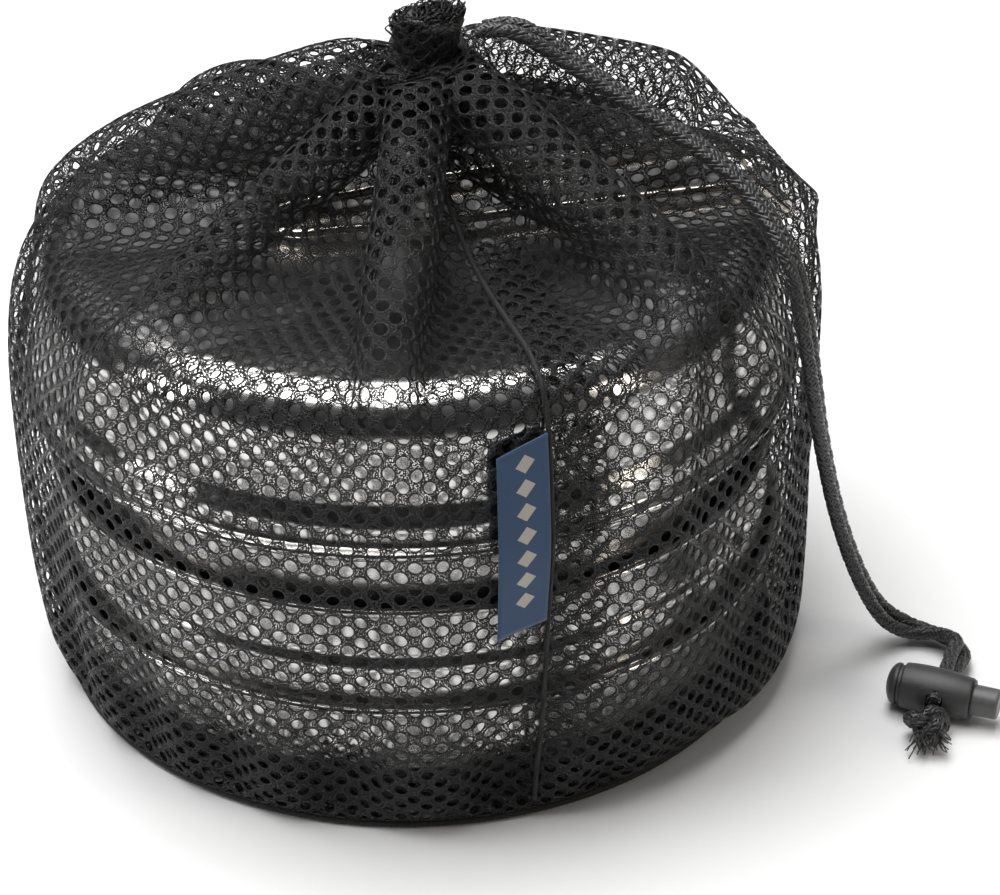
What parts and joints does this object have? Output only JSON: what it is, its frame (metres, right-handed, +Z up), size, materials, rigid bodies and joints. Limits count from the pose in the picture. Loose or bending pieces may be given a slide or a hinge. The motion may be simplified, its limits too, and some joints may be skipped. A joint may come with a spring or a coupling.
{
  "type": "cooking pot set",
  "caption": "Nested round steel camping pots, a deep plate and an upturned fry pan with folded wire handles, packed in a black mesh drawstring sack with a cord lock.",
  "frame": {"origin": "centre of the sack's base, on the surface it stands on", "axes": "+Z up, -Y towards the front with the label, +X towards the cord lock"},
  "size_m": [0.2312, 0.1923, 0.164],
  "materials": {
    "steel": "satin stainless steel",
    "wire": "bright stainless wire",
    "mesh": "open warp-knit polyester mesh",
    "binding": "narrow woven seam binding",
    "label": "twill woven label with a plain cream border",
    "cord": "braided polyester cord",
    "lock_plastic": "fine moulded texture",
    "button_plastic": "smooth matt"
  },
  "bodies": {
    "sack": {"bag_bottom": "mesh", "bag_base_seam": "binding", "bag_wall": "mesh", "bag_side_seam": "binding", "bag_hem": "mesh", "bag_label": "label", "drawcord_in_hem": "cord", "drawcord_strand_a": "cord", "drawcord_strand_b": "cord", "cord_knot": "cord", "lock_barrel": "lock_plastic", "lock_spring": "wire"},
    "lock_plunger": {"lock_button": "button_plastic"},
    "plate": {"deep_plate": "steel"},
    "large_pot": {"large_pot": "steel", "large_pot_bracket": "steel"},
    "large_pot_left_handle": {"large_pot_handle_left": "wire"},
    "large_pot_right_handle": {"large_pot_handle_right": "wire"},
    "small_pot": {"small_pot": "steel", "small_pot_bracket": "steel"},
    "small_pot_left_handle": {"small_pot_handle_left": "wire"},
    "small_pot_right_handle": {"small_pot_handle_right": "wire"},
    "fry_pan": {"fry_pan": "steel", "fry_pan_bracket": "steel"},
    "fry_pan_wire_handle": {"fry_pan_handle": "wire"}
  },
  "joints": [
    {"name": "lock_button_press", "type": "slide", "parent": "sack", "child": "lock_plunger", "axis": [-0.9157, 0.4019, 0], "range_m": [0, 0.003], "stiffness_N_per_m": 600, "springref_m": -0.002, "deforming": ["lock_spring"]},
    {"name": "cook_set_lift", "type": "slide", "parent": "sack", "child": "plate", "axis": [0, 0, 1], "range_m": [0, 0.22], "deforming": ["bag_wall", "bag_side_seam", "bag_hem", "drawcord_in_hem", "drawcord_strand_a", "drawcord_strand_b"]},
    {"name": "large_pot_lift", "type": "slide", "parent": "plate", "child": "large_pot", "axis": [0, 0, 1], "range_m": [0, 0.2], "deforming": ["bag_wall", "bag_side_seam", "bag_hem", "drawcord_in_hem", "drawcord_strand_a", "drawcord_strand_b"]},
    {"name": "small_pot_lift", "type": "slide", "parent": "large_pot", "child": "small_pot", "axis": [0, 0, 1], "range_m": [0, 0.2], "deforming": ["bag_wall", "bag_side_seam", "bag_hem", "drawcord_in_hem", "drawcord_strand_a", "drawcord_strand_b"]},
    {"name": "fry_pan_lift", "type": "slide", "parent": "small_pot", "child": "fry_pan", "axis": [0, 0, 1], "range_m": [0, 0.16], "deforming": ["bag_wall", "bag_side_seam", "bag_hem", "drawcord_in_hem", "drawcord_strand_a", "drawcord_strand_b"]},
    {"name": "large_pot_right_handle_swing", "type": "hinge", "parent": "large_pot", "child": "large_pot_right_handle", "pos_m": [0.01138, 0.08645, 0.0488], "axis": [0, 0, 1], "range_deg": [0, 110]},
    {"name": "large_pot_left_handle_swing", "type": "hinge", "parent": "large_pot", "child": "large_pot_left_handle", "pos_m": [-0.01138, 0.08645, 0.0488], "axis": [0, 0, -1], "range_deg": [0, 110]},
    {"name": "small_pot_right_handle_swing", "type": "hinge", "parent": "small_pot", "child": "small_pot_right_handle", "pos_m": [0.0111, 0.08427, 0.0666], "axis": [0, 0, 1], "range_deg": [0, 110]},
    {"name": "small_pot_left_handle_swing", "type": "hinge", "parent": "small_pot", "child": "small_pot_left_handle", "pos_m": [-0.0111, 0.08427, 0.0666], "axis": [0, 0, -1], "range_deg": [0, 110]},
    {"name": "fry_pan_handle_swing", "type": "hinge", "parent": "fry_pan", "child": "fry_pan_wire_handle", "pos_m": [0.08721, 0.02013, 0.102], "axis": [-0.225, 0.9744, 0], "range_deg": [0, 180]}
  ],
  "couplings": [
    {"joint": "large_pot_right_handle_swing", "follows": "large_pot_lift", "rad_per_m": 9.5993},
    {"joint": "large_pot_left_handle_swing", "follows": "large_pot_lift", "rad_per_m": 9.5993},
    {"joint": "small_pot_right_handle_swing", "follows": "small_pot_lift", "rad_per_m": 9.5993},
    {"joint": "small_pot_left_handle_swing", "follows": "small_pot_lift", "rad_per_m": 9.5993},
    {"joint": "fry_pan_handle_swing", "follows": "fry_pan_lift", "rad_per_m": 19.635}
  ]
}
